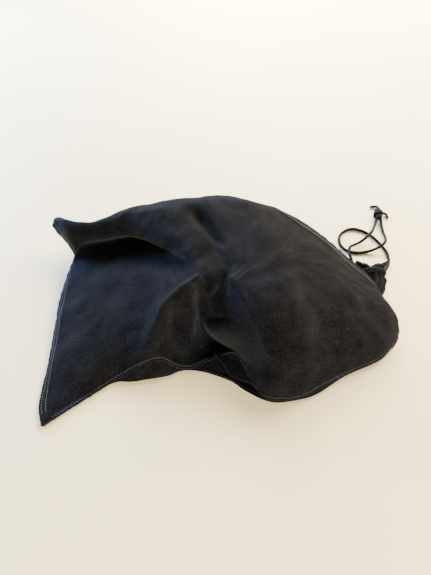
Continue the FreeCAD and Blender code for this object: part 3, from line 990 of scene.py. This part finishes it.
# Piece, CAD node, how far inside, material, thickness, cut size and area of the neck's two layers.
NECK_LAYERS = (
    ("pleated_neck", "neck_gather", 0.0, "outer", CLOTH, (0.095, 0.055), 0.0051),
    ("neck_lining_pleats", "neck_lining", 1.9, "lining", LINING_CLOTH, (0.085, 0.055), 0.00456),
)


def neck_grid(shrink):
    """Pleated tube from inside the bag to the channel: (ring, way along)."""
    ys, middles, radii, depths = (np.array(column, float) for column in zip(*NECK_STATIONS))
    along = np.linspace(ys[0], ys[-1], NECK_STEPS)
    grid = []
    for ring in range(NECK_RINGS + 1):
        angle = 2.0 * math.pi * ring / NECK_RINGS
        line = []
        for y in along:
            radius = np.interp(y, ys, radii) - shrink
            depth = np.interp(y, ys, depths)
            sway = NECK_SWAY * math.sin(0.35 * y + 3.0 * angle)
            point = mouth_point(radius + depth * pleat(angle, NECK_PLEATS, 0.04 * y) + sway, angle, y)
            point[0] += np.interp(y, ys, middles) - MOUTH_X
            point[2] = max(point[2], NECK_LOWEST_Z)
            line.append(point)
        grid.append(line)
    return np.array(grid)[::-1]


def arc_line(radius, start_deg, end_deg, count, y=CHANNEL_Y):
    angles = np.radians(np.linspace(start_deg, end_deg, count))
    return np.array([mouth_point(radius, angle, y) for angle in angles])


CHANNEL_ROWS = 240
CHANNEL_AROUND = 28
CHANNEL_GATHERS = 26
CHANNEL_END_RADIUS = 2.75
CHANNEL_SWELL = 0.40
CHANNEL_BUNCH = 0.42
CHANNEL_CRIMP = 0.22
CHANNEL_END_ROWS = 8.0
CHANNEL_BORE_RADIUS = 1.9
CHANNEL_UV_MM = 3.0


def channel_radius(row, angle, turn):
    """Outer radius of the casing: gathers along it that calm down towards its two ends."""
    end = min(1.0, min(row, CHANNEL_ROWS - 1 - row) / CHANNEL_END_ROWS)
    bunch = pleat(angle, CHANNEL_GATHERS, 0.7)
    crimp = CHANNEL_CRIMP * math.sin(3.0 * turn + 31.0 * angle)
    return CHANNEL_END_RADIUS + CHANNEL_SWELL * end + (CHANNEL_BUNCH * bunch + crimp) * end


def channel(materials):
    """Casing that holds the cord: a gathered outside and a round bore, joined at both ends."""
    line = arc_line(CHANNEL_RING_RADIUS, CHANNEL_START_DEG, CHANNEL_END_DEG, CHANNEL_ROWS)
    angles = np.radians(np.linspace(CHANNEL_START_DEG, CHANNEL_END_DEG, CHANNEL_ROWS))
    around = CHANNEL_AROUND
    verts = []
    uvs = []
    for radius_at in (channel_radius, lambda row, angle, turn: CHANNEL_BORE_RADIUS):
        for row, (point, angle) in enumerate(zip(line, angles)):
            out = outward(angle)
            for a in range(around):
                turn = 2.0 * math.pi * a / around
                ray = math.cos(turn) * out + math.sin(turn) * ALONG_MOUTH
                verts.append(point + radius_at(row, angle, turn) * ray)
                uvs.append((turn * CHANNEL_UV_MM, angle * CHANNEL_RING_RADIUS))
    start = CHANNEL_ROWS * around
    faces = grid_faces(CHANNEL_ROWS, around, 0, flip=True, wrap=True)
    faces += grid_faces(CHANNEL_ROWS, around, start, wrap=True)
    for first, flip in ((0, True), (start - around, False)):
        for a in range(around):
            b = (a + 1) % around
            quad = (first + a, first + b, start + first + b, start + first + a)
            faces.append(quad if flip else quad[::-1])
    piece = mesh_piece("cord_channel", np.array(verts), faces, materials["seam"], np.array(uvs))
    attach(piece, "mouth")
    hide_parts("drawcord_channel")


FRILL_RINGS = 220
FRILL_STEPS = 16
FRILL_PLEATS = 9
FRILL_START_RADIUS = 12.4
FRILL_START_Y = 33.0
HEM_ROW_INSET = 1.8
HEM_EDGE_RADIUS = 0.9
HEM_STITCH_SEED = 21


def frill(materials):
    """Ruffled hem edge beyond the channel: it spreads to both sides and sags in the middle."""
    grid = []
    for angle in np.radians(np.linspace(CHANNEL_START_DEG, CHANNEL_END_DEG, FRILL_RINGS + 1)):
        ear = abs(math.cos(angle)) ** 1.5
        line = []
        for t in np.linspace(0.0, 1.0, FRILL_STEPS + 1):
            wave = pleat(angle, FRILL_PLEATS, 0.9 + 0.6 * t)
            radius = FRILL_START_RADIUS + (1.5 + 6.0 * ear) * t + (0.7 + 1.1 * t) * wave
            y = FRILL_START_Y + (5.5 + 4.5 * ear) * t + 0.9 * t * math.sin(5.0 * angle + 0.6)
            point = mouth_point(radius, angle, y)
            point[2] += 4.0 * t * ear - 3.0 * t * (1.0 - ear)
            line.append(point)
        grid.append(line)
    grid = np.array(grid)[::-1]
    piece = cloth_piece("mouth_frill_ruffle", grid, CLOTH, materials["outer"])
    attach(piece, "mouth")
    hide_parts("mouth_frill")
    points, normals = edge_walk(grid, "far", HEM_ROW_INSET)
    row = stitch_row("mouth_hem_stitches", points, normals, materials["thread"], HEM_STITCH_SEED,
                     pitch=2.4, length=1.7)
    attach(row, "mouth")
    hem = edge_roll("mouth_hem_edge", grid, "far", materials["seam"], HEM_EDGE_RADIUS)
    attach(hem, "mouth")


# One buttonhole stitch over the hole's rim: distance from the hole's middle and height over it.
EYELET_PROFILE = ((1.95, 0.1), (2.0, 0.75), (2.35, 1.1), (2.8, 1.0), (3.1, 0.5), (3.15, -0.1))
EYELET_STITCHES = 18
EYELET_THREAD_RADIUS = 0.40


def eyelet(name, node, degrees, side, materials):
    """Ring of buttonhole stitches round the hole that the cord leaves by."""
    angle = math.radians(degrees)
    centre = mouth_point(CHANNEL_RING_RADIUS, angle, CHANNEL_Y)
    along = np.array((-math.sin(angle), 0.0, math.cos(angle))) * side
    out = outward(angle)
    verts = []
    faces = []
    for stitch in range(EYELET_STITCHES):
        turn = 2.0 * math.pi * stitch / EYELET_STITCHES
        ray = math.cos(turn) * out + math.sin(turn) * ALONG_MOUTH
        tangent = -math.sin(turn) * out + math.cos(turn) * ALONG_MOUTH
        faces += grid_faces(len(EYELET_PROFILE), THREAD_AROUND, len(verts), wrap=True)
        for radius, height in EYELET_PROFILE:
            middle = centre + ray * radius + along * height
            verts += ring_points(middle, EYELET_THREAD_RADIUS, tangent, along, THREAD_AROUND)
    piece = mesh_piece(name, np.array(verts), faces, materials["thread"])
    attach(piece, "mouth")
    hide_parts(node)


def mouth(materials):
    for name, node, shrink, slot, thickness, cut, area in NECK_LAYERS:
        piece = cloth_piece(name, neck_grid(shrink), thickness, materials[slot])
        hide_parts(node)
        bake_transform(piece)
    channel(materials)
    frill(materials)
    eyelet("right_eyelet_stitches", "right_exit_eyelet", CHANNEL_START_DEG, -1, materials)
    eyelet("left_eyelet_stitches", "left_exit_eyelet", CHANNEL_END_DEG, 1, materials)
    line = arc_line(CHANNEL_RING_RADIUS, 0.0, 180.0, 60)
    inside = tube_piece("cord_in_channel", line, CORD_RADIUS, materials["cord"])
    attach(inside, "mouth")
    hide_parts("drawcord_in_channel")


# ---------------------------------------------------------------- making


FLOOR_HALF = 3.0


def floor():
    corners = [(x * FLOOR_HALF, y * FLOOR_HALF, 0) for x, y in ((-1, -1), (1, -1), (1, 1), (-1, 1))]
    mesh = bpy.data.meshes.new("table")
    mesh.from_pydata(corners, [], [(0, 1, 2, 3)])
    mesh.materials.append(floor_material())
    piece = bpy.data.objects.new("table", mesh)
    bpy.context.scene.collection.objects.link(piece)


camera()
MATERIALS = {
    "outer": cloth_material("outer_cotton", shade(0.0006), shade(0.0086), 0.8, 0.9, 0.05, lint=True),
    # The seam cloth is the outer cotton drawn lighter: a painted highlight along the turned edges, seam
    # bands and cord casing.
    "seam": cloth_material("seam_cotton_painted_highlight", shade(0.0018), shade(0.0130), 0.8, 0.9, 0.08),
    "lining": cloth_material("lining_cotton", shade(0.001), shade(0.005), 0.6, 0.3, 0.02),
    "cord": braid_material(),
    "thread": thread_material(),
}
drawcord(MATERIALS["cord"])
lights()
floor()
TOP = cloth(MATERIALS)
tuck(MATERIALS)
seams(TOP, MATERIALS)
mouth(MATERIALS)
